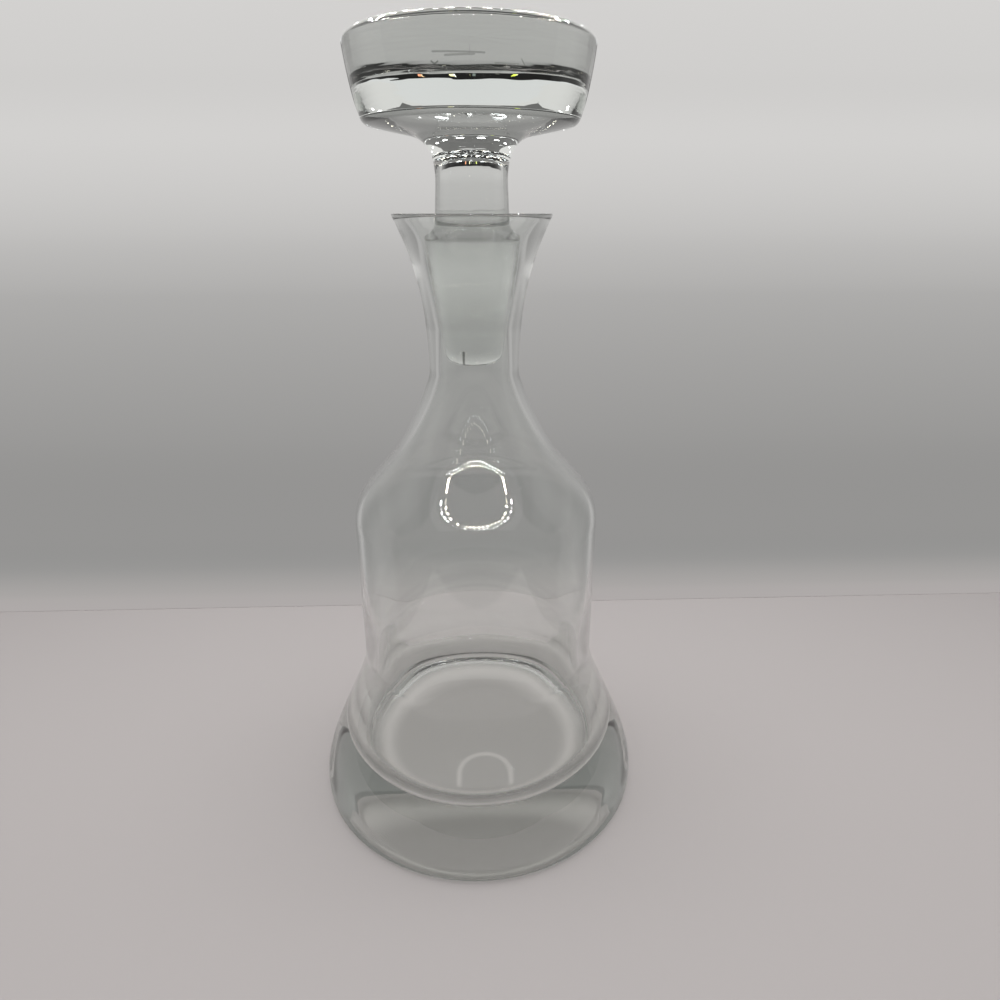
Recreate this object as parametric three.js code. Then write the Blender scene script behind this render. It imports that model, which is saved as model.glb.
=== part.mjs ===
// A clear glass liquor decanter with its solid glass stopper, in millimetres, +Z up.
// Both pieces are solids of revolution about Z. The origin is the middle of the base, level with
// the surface that the decanter stands on. Each outline is a list of points, radius first and
// then height, that a lathe turns round the axis. A lean is an angle outwards from straight up,
// in degrees, and a reach is the length over which a curve holds on to the lean of its end.

import * as THREE from "three";

// Decanter, outside, from the foot up. Each height is measured from the one before it.
const foot_radius = 61.5;
const foot_height = 3.5;
const foot_edge_rounding = 1.8;
const flare_height = 53.5;
const belly_radius = 42.9;
const belly_height = 52.4;
const shoulder_radius = 27.6;
const shoulder_height = 25.3;
const shoulder_lean = -40.5;
const neck_radius = 14.8;
const neck_height = 27.3;
const mouth_height = 48;
const rim_radius = 24.8;
const rim_lean = 25;

// Reaches of the outside's curves, at their ends from the foot up
const foot_reach = 13;
const flare_reach = 11.8;
const belly_reach = 10.3;
const shoulder_low_reach = 15.9;
const shoulder_high_reach = 7.4;
const neck_reach = 3;
const mouth_reach = 24;
const rim_reach = 13.7;

// Decanter, underside: a flat ring to stand on, round a shallow hollow
const standing_ring_width = 7;
const underside_hollow = 1.5;

// Decanter, inside
const base_thickness = 15.4;
const base_wall = 11;
const cavity_corner_rounding = 11;
const cavity_lean = -16;
const flare_wall = 2.8;
const belly_wall = 2.1;
const shoulder_wall = 2.2;
const neck_wall = 3.4;
const rim_wall = 4.4;

// Reaches of the inside's curves, at their ends from the base up
const cavity_reach = 13;
const inner_flare_reach = 9;
const inner_belly_reach = 9.6;
const inner_shoulder_low_reach = 15;
const inner_shoulder_high_reach = 8.4;
const inner_neck_reach = 6;
const inner_mouth_reach = 5;

// The ground seat in the neck, which holds the plug
const seat_depth = 14;
const seat_length = 21;
const seat_clearance = 0.3;

// Stopper, plug and stem. The plug's wide end lies below the rim, and the stem's top above it.
const plug_radius = 15.1;
const plug_depth = 6.9;
const plug_length = 38.1;
const plug_taper = 9.2;
const plug_tip_rounding = 4.5;
const plug_edge_rounding = 0.8;
const plug_shoulder_lean = -60;
const stem_root_radius = 11.4;
const stem_root_height = 5.9;
const stem_radius = 10.9;
const stem_top_height = 9;
const plug_shoulder_reach = 1.8;
const stem_root_reach = 3;

// Stopper, head, from the top of the stem up
const head_underside_radius = 18.5;
const head_underside_height = 12.2;
const head_underside_lean = 79;
const head_corner_radius = 31.4;
const head_corner_rounding = 3;
const head_side_low_lean = 20;
const head_radius = 35.8;
const head_side_high_lean = 6;
const head_height = 23.7;
const head_edge_rounding = 1.8;
const head_dome = 0.4;
const stem_reach = 8;
const head_underside_reach = 5;
const head_side_reach = 5;

// Colour of the glass, and how finely curves are cut into flats
const glass_colour = 0xdfe8e2;
const turn_steps = 56;
const sweep_steps = 7;
const rounding_steps = 4;

const point = (radius, height) => new THREE.Vector2(radius, height);

// One millimetre along an outline that climbs with this lean.
function climb(lean) {
  const angle = THREE.MathUtils.degToRad(lean);
  return point(Math.sin(angle), Math.cos(angle));
}

// The point a wall's thickness in from a leaning outside surface.
function behind(surface, lean, wall) {
  const along = climb(lean);
  return point(surface.x - wall * along.y, surface.y + wall * along.x);
}

// A smooth curve from one leaning point up to the next.
function sweep(low, low_lean, low_reach, high, high_lean, high_reach, steps = sweep_steps) {
  const low_handle = climb(low_lean).multiplyScalar(low_reach).add(low);
  const high_handle = climb(high_lean).multiplyScalar(-high_reach).add(high);
  return new THREE.CubicBezierCurve(low, low_handle, high_handle, high).getPoints(steps);
}

// The arc that replaces a corner and meets both of its sides smoothly.
function rounded(before, corner, after, radius, steps = rounding_steps) {
  const back = before.clone().sub(corner).normalize();
  const ahead = after.clone().sub(corner).normalize();
  const half_angle = Math.acos(back.dot(ahead)) / 2;
  const middle = back.clone().add(ahead).normalize();
  const centre = middle.multiplyScalar(radius / Math.sin(half_angle)).add(corner);
  const side = radius / Math.tan(half_angle);
  const start = back.multiplyScalar(side).add(corner).sub(centre);
  const end = ahead.multiplyScalar(side).add(corner).sub(centre);
  const turn = Math.atan2(start.cross(end), start.dot(end));
  const step_point = (_, step) =>
    start.clone().rotateAround(point(0, 0), (turn * step) / steps).add(centre);
  return Array.from({ length: steps + 1 }, step_point);
}

// One outline from its stretches, without the point that two stretches share where they meet.
function joined(...stretches) {
  const repeats = (here, before) => before && here.distanceTo(before) < 1e-6;
  return stretches.flat().filter((here, index, all) => !repeats(here, all[index - 1]));
}

// Heights above the surface that the decanter stands on.
const flare_top = foot_height + flare_height;
const belly_top = flare_top + belly_height;
const shoulder_middle = belly_top + shoulder_height;
const neck_waist = shoulder_middle + neck_height;
const rim_top = neck_waist + mouth_height;
const seat_top = rim_top - seat_depth;
const seat_bottom = seat_top - seat_length;
const plug_top = rim_top - plug_depth;
const plug_tip = plug_top - plug_length;
const stem_top = rim_top + stem_top_height;
const head_underside = stem_top + head_underside_height;
const head_top = head_underside + head_height;

// The plug and the seat that it sits in are the same cone, a clearance apart.
const plug_narrowing = Math.tan(THREE.MathUtils.degToRad(plug_taper));

function plug_side(height, clearance = 0) {
  return point(plug_radius + clearance - (plug_top - height) * plug_narrowing, height);
}

// From the middle of the underside out to the foot and up to the rim.
function decanter_outside() {
  const foot = point(foot_radius, foot_height);
  const foot_corner = point(foot_radius, 0);
  const hollow_edge = point(foot_radius - foot_edge_rounding - standing_ring_width, 0);
  const hollow_middle = point(0, underside_hollow);
  const hollow = new THREE.QuadraticBezierCurve(
    hollow_middle,
    point(hollow_edge.x / 2, underside_hollow),
    hollow_edge,
  );
  const belly_start = point(belly_radius, flare_top);
  const belly_end = point(belly_radius, belly_top);
  const shoulder = point(shoulder_radius, shoulder_middle);
  const neck = point(neck_radius, neck_waist);
  const rim = point(rim_radius, rim_top);
  return joined(
    hollow.getPoints(rounding_steps),
    rounded(hollow_edge, foot_corner, foot, foot_edge_rounding),
    sweep(foot, 0, foot_reach, belly_start, 0, flare_reach),
    sweep(belly_end, 0, belly_reach, shoulder, shoulder_lean, shoulder_low_reach),
    sweep(shoulder, shoulder_lean, shoulder_high_reach, neck, 0, neck_reach),
    sweep(neck, 0, mouth_reach, rim, rim_lean, rim_reach),
  );
}

// From the middle of the hollow's floor up to the mouth. The wall is thick at the base, where
// the hollow flares like the outside, thin at the belly, and thick again round the seat.
function decanter_inside() {
  const floor_middle = point(0, base_thickness);
  const corner = point(foot_radius - base_wall, base_thickness);
  const above_corner = climb(cavity_lean).add(corner);
  const floor_rounding = rounded(floor_middle, corner, above_corner, cavity_corner_rounding);
  const cavity_side = floor_rounding.at(-1);
  const flare = point(belly_radius - flare_wall, flare_top);
  const belly_middle = point(belly_radius - belly_wall, (flare_top + belly_top) / 2);
  const belly_end = point(belly_radius - belly_wall, belly_top);
  const shoulder_outside = point(shoulder_radius, shoulder_middle);
  const shoulder = behind(shoulder_outside, shoulder_lean, shoulder_wall);
  const neck = point(neck_radius - neck_wall, neck_waist);
  const seat_start = plug_side(seat_bottom, seat_clearance);
  const seat_end = plug_side(seat_top, seat_clearance);
  const rim = point(rim_radius - rim_wall, rim_top);
  return joined(
    floor_middle,
    floor_rounding,
    sweep(cavity_side, cavity_lean, cavity_reach, flare, 0, inner_flare_reach),
    sweep(flare, 0, inner_flare_reach, belly_middle, 0, inner_flare_reach, 4),
    sweep(belly_end, 0, inner_belly_reach, shoulder, shoulder_lean, inner_shoulder_low_reach),
    sweep(shoulder, shoulder_lean, inner_shoulder_high_reach, neck, 0, inner_neck_reach),
    seat_start,
    sweep(seat_end, plug_taper, inner_mouth_reach, rim, rim_lean, inner_mouth_reach, 5),
  );
}

// From the tip of the plug up to the middle of the head's top.
function stopper_outline() {
  const tip_middle = point(0, plug_tip);
  const tip_corner = plug_side(plug_tip);
  const plug_edge = plug_side(plug_top);
  const plug_edge_rise = climb(plug_shoulder_lean).add(plug_edge);
  const stem_root = point(stem_root_radius, plug_top + stem_root_height);
  const stem = point(stem_radius, stem_top);
  const underside = point(head_underside_radius, head_underside);
  const underside_run = (head_corner_radius - head_underside_radius) / climb(head_underside_lean).x;
  const low_corner = climb(head_underside_lean).multiplyScalar(underside_run).add(underside);
  const above_low_corner = climb(head_side_low_lean).add(low_corner);
  const low_rounding = rounded(underside, low_corner, above_low_corner, head_corner_rounding);
  const high_corner = point(head_radius, head_top);
  const below_high_corner = climb(head_side_high_lean).multiplyScalar(-1).add(high_corner);
  const top_middle = point(0, head_top + head_dome);
  const high_rounding = rounded(below_high_corner, high_corner, top_middle, head_edge_rounding);
  const plug_shoulder = sweep(
    plug_edge_rise,
    plug_shoulder_lean,
    plug_shoulder_reach,
    stem_root,
    0,
    stem_root_reach,
    5,
  );
  const head_side = sweep(
    low_rounding.at(-1),
    head_side_low_lean,
    head_side_reach,
    high_rounding[0],
    head_side_high_lean,
    head_side_reach,
    4,
  );
  return joined(
    tip_middle,
    rounded(tip_middle, tip_corner, plug_edge, plug_tip_rounding, 6),
    rounded(tip_corner, plug_edge, plug_edge_rise, plug_edge_rounding, 2),
    plug_shoulder.slice(1),
    stem,
    sweep(stem, 0, stem_reach, underside, head_underside_lean, head_underside_reach),
    low_rounding,
    head_side,
    high_rounding,
    top_middle,
  );
}

function glass() {
  return new THREE.MeshStandardMaterial({
    color: glass_colour,
    roughness: 0.02,
    metalness: 0,
    transparent: true,
    opacity: 0.35,
  });
}

// The glass piece that one closed outline makes when it is turned round the Z axis.
function turned(name, outline) {
  const geometry = new THREE.LatheGeometry(outline, turn_steps);
  geometry.rotateX(Math.PI / 2);
  const mesh = new THREE.Mesh(geometry, glass());
  mesh.name = name;
  return mesh;
}

const decanter_outline = joined(decanter_outside(), decanter_inside().reverse());

const group = new THREE.Group();
group.add(turned("decanter", decanter_outline));
group.add(turned("stopper", stopper_outline()));

export default group;
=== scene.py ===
"""A clear glass liquor decanter with its solid glass stopper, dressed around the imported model.

Laid out as a Blender add-on and run as a script. Both pieces are outlines turned round the Z
axis by Geometry Nodes. An outline is a list of points, radius first and then height. A lean is
an angle outwards from straight up, and a reach is the length over which a curve holds on to the
lean of its end. Everything is in metres.
"""

import math

import bpy
from mathutils import Matrix, Vector


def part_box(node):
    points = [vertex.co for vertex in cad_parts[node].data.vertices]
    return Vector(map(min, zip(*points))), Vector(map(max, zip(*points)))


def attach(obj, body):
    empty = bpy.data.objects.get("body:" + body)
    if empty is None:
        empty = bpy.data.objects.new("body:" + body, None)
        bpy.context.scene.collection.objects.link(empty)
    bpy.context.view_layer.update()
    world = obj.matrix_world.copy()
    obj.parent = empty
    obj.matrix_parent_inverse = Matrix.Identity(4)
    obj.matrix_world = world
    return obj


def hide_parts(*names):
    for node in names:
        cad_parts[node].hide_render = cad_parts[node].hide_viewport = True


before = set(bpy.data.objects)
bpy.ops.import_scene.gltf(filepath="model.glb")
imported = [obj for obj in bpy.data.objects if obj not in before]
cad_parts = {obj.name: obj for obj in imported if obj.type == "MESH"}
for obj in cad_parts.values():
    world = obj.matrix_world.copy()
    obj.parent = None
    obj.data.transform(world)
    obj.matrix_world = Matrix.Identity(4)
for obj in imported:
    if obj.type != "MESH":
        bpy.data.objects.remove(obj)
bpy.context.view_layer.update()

bl_info = {
    "name": "Glass decanter",
    "version": (1, 0, 0),
    "blender": (4, 5, 0),
    "location": "View3D > Sidebar > Decanter",
    "description": "Makes a glass decanter, its stopper and a studio stage",
    "category": "Object",
}

MILLIMETRE = 0.001

# The CAD pieces give the overall sizes.
foot_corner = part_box("decanter")[1]
head_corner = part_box("stopper")[1]

# Reaches of the curves: the vessel outside, from the foot up
FOOT_REACH = 0.013
FLARE_REACH = 0.0118
BELLY_REACH = 0.0103
SHOULDER_LOW_REACH = 0.0159
SHOULDER_HIGH_REACH = 0.0074
NECK_REACH = 0.003
MOUTH_REACH = 0.024
RIM_REACH = 0.0137

# The vessel inside, from the base up
CAVITY_REACH = 0.013
INNER_FLARE_REACH = 0.009
INNER_BELLY_REACH = 0.0096
INNER_SHOULDER_LOW_REACH = 0.015
INNER_SHOULDER_HIGH_REACH = 0.0084
INNER_NECK_REACH = 0.006
INNER_MOUTH_REACH = 0.005

# The stopper, from the plug up
PLUG_SHOULDER_REACH = 0.0018
STEM_ROOT_REACH = 0.003
STEM_REACH = 0.008
UNDERSIDE_REACH = 0.005
HEAD_SIDE_REACH = 0.005

# The slow noise of the blown walls: where it starts, the radius at which it is read, and the
# radii between which it sets in, so that the middle of each piece stays closed
DECANTER_SEED = 3.0
STOPPER_SEED = 8.0
WAVE_RADIUS = 0.03
WAVE_START = (0.004, 0.012)

# After more reflections than this inside the glass, light goes straight on.
MOST_REFLECTIONS = 3.5

# Ripples in the stopper, closer together up than round, per metre
RIPPLE_STRETCH = (70.0, 700.0, 70.0)
STOPPER_RIPPLE = 2.0

# The dark colour of a stroke, and the warmth of a plain stage tone
STROKE_COLOUR = (0.06, 0.06, 0.055, 1.0)
TONE_WARMTH = (1.0, 0.985, 0.968)

# Tones of stage surfaces, as (distance, tone): up the backdrop, back along the sides, up the
# front, and sideways along the dark strip
# These surfaces glow and take no light, so their tones are painted light and shade: the backdrop
# mostly lighter towards its top.
BACKDROP_TONES = (
    (0, (0.425, 0.4, 0.394)),
    (0.003, (0.395, 0.378, 0.37)),
    (0.013, 0.315),
    (0.03, 0.3),
    (0.09, 0.32),
    (0.17, 0.42),
    (0.2, 0.53),
    (0.24, 0.64),
    (0.274, 0.63),
    (0.4, 0.75),
)
SIDE_TONES = ((0, 0.4), (0.05, 0.26), (0.1, 0.43), (0.152, 0.47))
FRONT_TONES = ((0, 0.08), (0.07, 0.04), (0.3, 0.06))
STRIP_TONES = ((0, 0.02), (0.03, 0.03), (0.055, 0.1), (0.075, 0.4))

# Small lamps above: how far aside the ones behind the stopper are, the rows over it, and the
# sides of each lamp
BACK_LAMPS = (-0.055, -0.04, -0.027, -0.0155, -0.005, 0.0055, 0.016, 0.0265, 0.04, 0.055)
NEAR_LAMPS = tuple(0.007 * place for place in range(-5, 6))
NEAR_LAMP_ROWS = (0.008, 0.02, 0.032)
LAMP_SIDES = 12

# Coloured sparks on the dark strip, as (x, half width, height, colour)
SPARKS = (
    (0.0082, 0.0004, 0.008, (0.8, 0.3, 0.15)),
    (0.0077, 0.0002, 0.014, (0.7, 0.5, 0.3)),
    (0.0025, 0.0003, 0.011, (1.0, 0.95, 0.5)),
    (0.0021, 0.0001, 0.013, (1.0, 1.0, 0.9)),
    (-0.0005, 0.0002, 0.006, (0.12, 0.14, 0.13)),
    (-0.0038, 0.0003, 0.004, (0.2, 0.21, 0.18)),
    (-0.007, 0.0004, 0.013, (0.75, 0.9, 0.1)),
    (-0.0074, 0.0002, 0.009, (1.0, 1.0, 0.5)),
)
SPARK_STRENGTH = 2.5
SPARK_RISE = 0.006

# Strokes on the front of the stopper: start and end as (x, z), half width, depth of the mark
STOPPER_STROKES = (
    ((-0.0031, 0.1658), (-0.003, 0.1698), 0.0005, 0.9),
    ((-0.009, 0.2461), (0.0035, 0.2458), 0.0003, 0.6),
    ((-0.006, 0.2453), (0.001, 0.2455), 0.00035, 0.55),
    ((-0.0094, 0.2442), (-0.0086, 0.2436), 0.00025, 0.8),
    ((-0.0086, 0.2436), (-0.0078, 0.2441), 0.00025, 0.8),
    ((0.0061, 0.2438), (0.012, 0.2439), 0.00018, 0.5),
    ((0.0126, 0.2449), (0.0138, 0.2432), 0.00018, 0.6),
)


def length(description, metres):
    """A size that a user may change."""
    values = {"description": description, "default": metres, "unit": "LENGTH"}
    return bpy.props.FloatProperty, {**values, "precision": 4}


def lean(description, degrees):
    """An angle that a user may change."""
    values = {"description": description, "default": math.radians(degrees)}
    return bpy.props.FloatProperty, {**values, "subtype": "ANGLE"}


def share(description, default):
    """A share from 0 to 1 that a user may change."""
    values = {"description": description, "default": default, "min": 0, "max": 1}
    return bpy.props.FloatProperty, {**values, "subtype": "FACTOR"}


def tint(description, default):
    """A colour that a user may change."""
    values = {"description": description, "default": default, "min": 0, "max": 1}
    return bpy.props.FloatVectorProperty, {**values, "subtype": "COLOR"}


def amount(description, default):
    """A plain number that a user may change."""
    return bpy.props.FloatProperty, {"description": description, "default": default, "min": 0}


def count(description, default):
    """A whole number that a user may change."""
    return bpy.props.IntProperty, {"description": description, "default": default, "min": 3}


def labelled(group):
    """Turns the settings of a group into properties, each labelled with its own name."""
    for name, (kind, values) in group.__annotations__.items():
        label = name.replace("_", " ").capitalize()
        group.__annotations__[name] = kind(name=label, **values)
    return group


@labelled
class DecanterSizes(bpy.types.PropertyGroup):
    """Sizes of the vessel."""

    rim_height: length("Height of the cut rim", foot_corner.z)
    rim_radius: length("Outside radius of the rim", 0.0248)
    rim_lean: lean("Lean of the mouth at the rim", 25)
    rim_edge_rounding: length("Polish on the rim's two edges", 0.0003)
    neck_radius: length("Outside radius at the neck's waist", 0.0148)
    mouth_height: length("From the neck's waist up to the rim", 0.048)
    shoulder_radius: length("Outside radius halfway up the shoulder", 0.0276)
    shoulder_drop: length("From the neck's waist to mid shoulder", 0.0273)
    shoulder_lean: lean("Lean of the shoulder at its steepest", -40.5)
    belly_radius: length("Outside radius of the straight belly", 0.0429)
    belly_drop: length("From mid shoulder to the top of the belly", 0.0253)
    belly_height: length("Height of the straight belly", 0.0524)
    foot_radius: length("Outside radius of the foot", foot_corner.x)
    foot_height: length("Height at which the flare starts", 0.0035)
    foot_edge_rounding: length("Rounding under the foot", 0.0018)
    standing_ring: length("Width of the ring that it stands on", 0.007)
    underside_hollow: length("Depth of the hollow underneath", 0.0015)
    hollow_edge_rounding: length("Rounding of the hollow's edge", 0.0006)
    base_thickness: length("Glass under the cavity", 0.0154)
    base_wall: length("Wall beside the cavity's floor", 0.011)
    cavity_corner: length("Rounding of the cavity's floor", 0.011)
    cavity_lean: lean("Lean of the cavity's side at its floor", -16)
    flare_wall: length("Wall at the top of the flare", 0.0028)
    belly_wall: length("Wall of the belly", 0.0021)
    shoulder_wall: length("Wall of the shoulder", 0.0022)
    neck_wall: length("Wall at the neck's waist", 0.0034)
    rim_wall: length("Wall at the rim", 0.0044)
    seat_depth: length("From the rim down to the ground seat", 0.014)
    seat_length: length("Length of the ground seat", 0.021)
    seat_clearance: length("Air between plug and seat", 0.0003)


@labelled
class StopperSizes(bpy.types.PropertyGroup):
    """Sizes of the stopper."""

    plug_radius: length("Radius at the plug's wide end", 0.0151)
    plug_depth: length("From the rim down to the plug's wide end", 0.0069)
    plug_length: length("Length of the plug", 0.0381)
    plug_taper: lean("Lean of the plug's side", 9.2)
    plug_tip_rounding: length("Rounding of the plug's tip", 0.0045)
    plug_edge_rounding: length("Rounding of its wide end", 0.0008)
    plug_shoulder_lean: lean("Lean above the plug's wide end", -60)
    stem_root_radius: length("Radius where the stem starts", 0.0114)
    stem_root_height: length("From the plug's wide end up", 0.0059)
    stem_radius: length("Radius of the stem", 0.0109)
    stem_top: length("From the rim up to the stem's top", 0.009)
    underside_radius: length("Radius where the head spreads", 0.0185)
    underside_height: length("From the stem's top up", 0.0122)
    underside_lean: lean("Lean of the head's underside", 79)
    corner_radius: length("Radius of the head's lower corner", 0.0314)
    corner_rounding: length("Rounding of that corner", 0.003)
    head_radius: length("Radius of the head's upper corner", 0.0358)
    head_low_lean: lean("Lean of the head's side below", 20)
    head_high_lean: lean("Lean of the head's side above", 6)
    head_edge_rounding: length("Rounding of the top edge", 0.0018)
    head_dome: length("Rise of the head's top", 0.0004)
    head_top: length("Height of the top's middle", head_corner.z)


@labelled
class GlassLook(bpy.types.PropertyGroup):
    """The finish of the glass."""

    turn_steps: count("Flats round each piece", 200)
    waviness: length("How uneven the blown walls are", 0.00003)
    wave_size: length("Distance between the waves", 0.03)
    clear_colour: tint("What polished glass lets through", (0.985, 0.995, 0.988))
    mass_colour: tint("Colour of thick glass", (0.864, 0.873, 0.864))
    stopper_density: amount("How strongly the stopper takes light", 37.0)
    decanter_density: amount("How strongly the vessel takes light", 37.0)
    ground_roughness: share("Roughness of the ground faces", 0.1)
    haze_roughness: share("Roughness of the handled glass", 0.02)
    scratch_amount: share("How many fine scratches show", 0.12)
    shadow_pass: share("Light that gets through to the floor", 0.93)


@labelled
class StageLook(bpy.types.PropertyGroup):
    """The studio: floor, backdrop, lamps and camera."""

    focal_share: amount("Focal length in picture widths", 0.694)
    camera_pitch: lean("How far the camera looks down", 22.5)
    camera_yaw: lean("How far the camera looks aside", 2.127)
    camera_distance: length("From the axis", 0.2293)
    camera_height: length("Above the floor", 0.2103)
    floor_colour: tint("The paper's colour", (0.5, 0.468, 0.463))
    # The paper's colour is painted lighter under the foot and in a ring, as painted light that the
    # glass foot gathers.
    light_under: amount("Gain of the paper's tone under the foot", 1.3)
    light_in_ring: amount("Gain of its tone in the ring of light", 1.8)
    light_ring: length("Radius of the ring of gathered light", 0.043)
    light_ring_width: length("Width of its soft edge", 0.01)
    wall_foot: length("From the axis to the backdrop", 0.152)
    wall_bend: length("Radius of the backdrop's sweep", 0.03)
    tent_half_width: length("From the axis to each side card", 0.152)
    opening_back: length("From the axis to where the dark front starts", 0.05)
    tent_height: length("Height of the ceiling card", 0.3)
    tent_front: length("From the axis to the dark front", 0.2)
    dim_front: length("How far forward the ceiling turns dim", 0.03)
    lamp_power: amount("Watts of the soft lamp above", 9.6)
    lamp_back: length("From the axis back to the soft lamp", 0.3)
    lamp_height: length("Height of the soft lamp", 0.6)
    lamp_width: length("Width of the soft lamp", 0.8)
    fill_power: amount("Brightness of the surroundings", 0.35)
    ring_radius: length("Radius of the outer row of small lamps", 0.112)
    ring_step: length("Between the two rows of small lamps", 0.014)
    ring_front: length("How far the ring is forward of the axis", 0.085)
    ring_lamps: count("Small lamps in a row", 42)
    ring_lamp_radius: length("Radius of a small lamp", 0.0023)
    ring_strength: amount("Brightness of a small lamp", 190)
    back_lamps_back: length("From the axis to the back lamps", 0.09)
    back_lamp_radius: length("Radius of a lamp behind the stopper", 0.0023)
    near_lamp_radius: length("Radius of a lamp over the stopper", 0.0009)
    strip_back: length("From the axis to the dark strip", 0.1)
    strip_low: length("Height of the dark strip's lower edge", 0.248)
    strip_high: length("Height of the dark strip's upper edge", 0.2733)
    strip_half_width: length("From its middle to its end", 0.075)
    white_back: length("From the axis to the white card", 0.12)
    white_low: length("Height of the white card's lower edge", 0.2745)
    white_high: length("Height of the white card's upper edge", 0.288)
    white_half_width: length("From its middle to its end", 0.1)
    grey_back: length("From the axis to the back of the grey card", 0.137)
    grey_half_width: length("From its middle to its side", 0.036)


# Outlines


def point(radius, height):
    """A place on an outline."""
    return Vector((radius, height))


def climb(angle):
    """One metre along an outline that climbs with this lean."""
    return Vector((math.sin(angle), math.cos(angle)))


def behind(surface, angle, wall):
    """The point a wall's thickness in from a leaning outside surface."""
    along = climb(angle)
    return surface + wall * point(-along.y, along.x)


def sweep(low, low_lean, low_reach, high, high_lean, high_reach, steps=36):
    """A smooth curve from one leaning point up to the next."""
    low_handle = low + climb(low_lean) * low_reach
    high_handle = high - climb(high_lean) * high_reach
    points = []
    for step in range(steps + 1):
        t = step / steps
        s = 1 - t
        near_low = low * s**3 + low_handle * (3 * s * s * t)
        points.append(near_low + high_handle * (3 * s * t * t) + high * t**3)
    return points


def rounded(before, corner, after, radius, steps=8):
    """The arc that replaces a corner and meets both of its sides smoothly."""
    back = (before - corner).normalized()
    ahead = (after - corner).normalized()
    half_angle = back.angle(ahead) / 2
    centre = corner + (back + ahead).normalized() * (radius / math.sin(half_angle))
    side = radius / math.tan(half_angle)
    start = corner + back * side - centre
    end = corner + ahead * side - centre
    turn = math.atan2(start.cross(end), start.dot(end))
    return [centre + Matrix.Rotation(turn * step / steps, 2) @ start for step in range(steps + 1)]


def straight(start, end, steps):
    """Evenly spaced points between two points, without the end."""
    return [start.lerp(end, step / steps) for step in range(steps)]


def joined(*stretches):
    """One outline from its stretches, without the point that two stretches share."""
    points = []
    for stretch in stretches:
        for here in stretch:
            if not points or (here - points[-1]).length > 1e-7:
                points.append(here)
    return points


def plug_side(decanter, stopper, height, clearance=0.0):
    """A point on the cone that plug and seat share, a clearance apart."""
    plug_top = decanter.rim_height - stopper.plug_depth
    narrowing = (plug_top - height) * math.tan(stopper.plug_taper)
    return point(stopper.plug_radius + clearance - narrowing, height)


def decanter_heights(sizes):
    """Heights above the floor: waist of the neck, mid shoulder, and both ends of the belly."""
    waist = sizes.rim_height - sizes.mouth_height
    shoulder = waist - sizes.shoulder_drop
    belly_top = shoulder - sizes.belly_drop
    return waist, shoulder, belly_top, belly_top - sizes.belly_height


def decanter_outside(sizes):
    """From the middle of the underside out to the foot and up to the rim's outer edge."""
    waist, mid_shoulder, belly_top, flare_top = decanter_heights(sizes)
    foot = point(sizes.foot_radius, sizes.foot_height)
    foot_corner_below = point(sizes.foot_radius, 0)
    ring_edge = sizes.foot_radius - sizes.foot_edge_rounding - sizes.standing_ring
    hollow_edge = point(ring_edge, 0)
    hollow_middle = point(0, sizes.underside_hollow)
    hollow_handle = point(ring_edge / 2, sizes.underside_hollow)
    hollow = []
    steps = 16
    for step in range(steps):
        t = step / steps
        towards_edge = hollow_handle.lerp(hollow_edge, t)
        hollow.append(hollow_middle.lerp(hollow_handle, t).lerp(towards_edge, t))
    belly_start = point(sizes.belly_radius, flare_top)
    belly_end = point(sizes.belly_radius, belly_top)
    shoulder, slope = point(sizes.shoulder_radius, mid_shoulder), sizes.shoulder_lean
    neck = point(sizes.neck_radius, waist)
    rim = point(sizes.rim_radius, sizes.rim_height)
    mouth = sweep(neck, 0, MOUTH_REACH, rim, sizes.rim_lean, RIM_REACH)
    rim_inside = rim - point(sizes.rim_wall, 0)
    return joined(
        hollow[:-1],
        rounded(hollow[-1], hollow_edge, foot_corner_below, sizes.hollow_edge_rounding, 4),
        rounded(hollow_edge, foot_corner_below, foot, sizes.foot_edge_rounding),
        sweep(foot, 0, FOOT_REACH, belly_start, 0, FLARE_REACH),
        straight(belly_start, belly_end, 14),
        sweep(belly_end, 0, BELLY_REACH, shoulder, slope, SHOULDER_LOW_REACH),
        sweep(shoulder, slope, SHOULDER_HIGH_REACH, neck, 0, NECK_REACH, 24),
        mouth[:-1],
        rounded(mouth[-2], rim, rim_inside, sizes.rim_edge_rounding, 5),
    )


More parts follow.
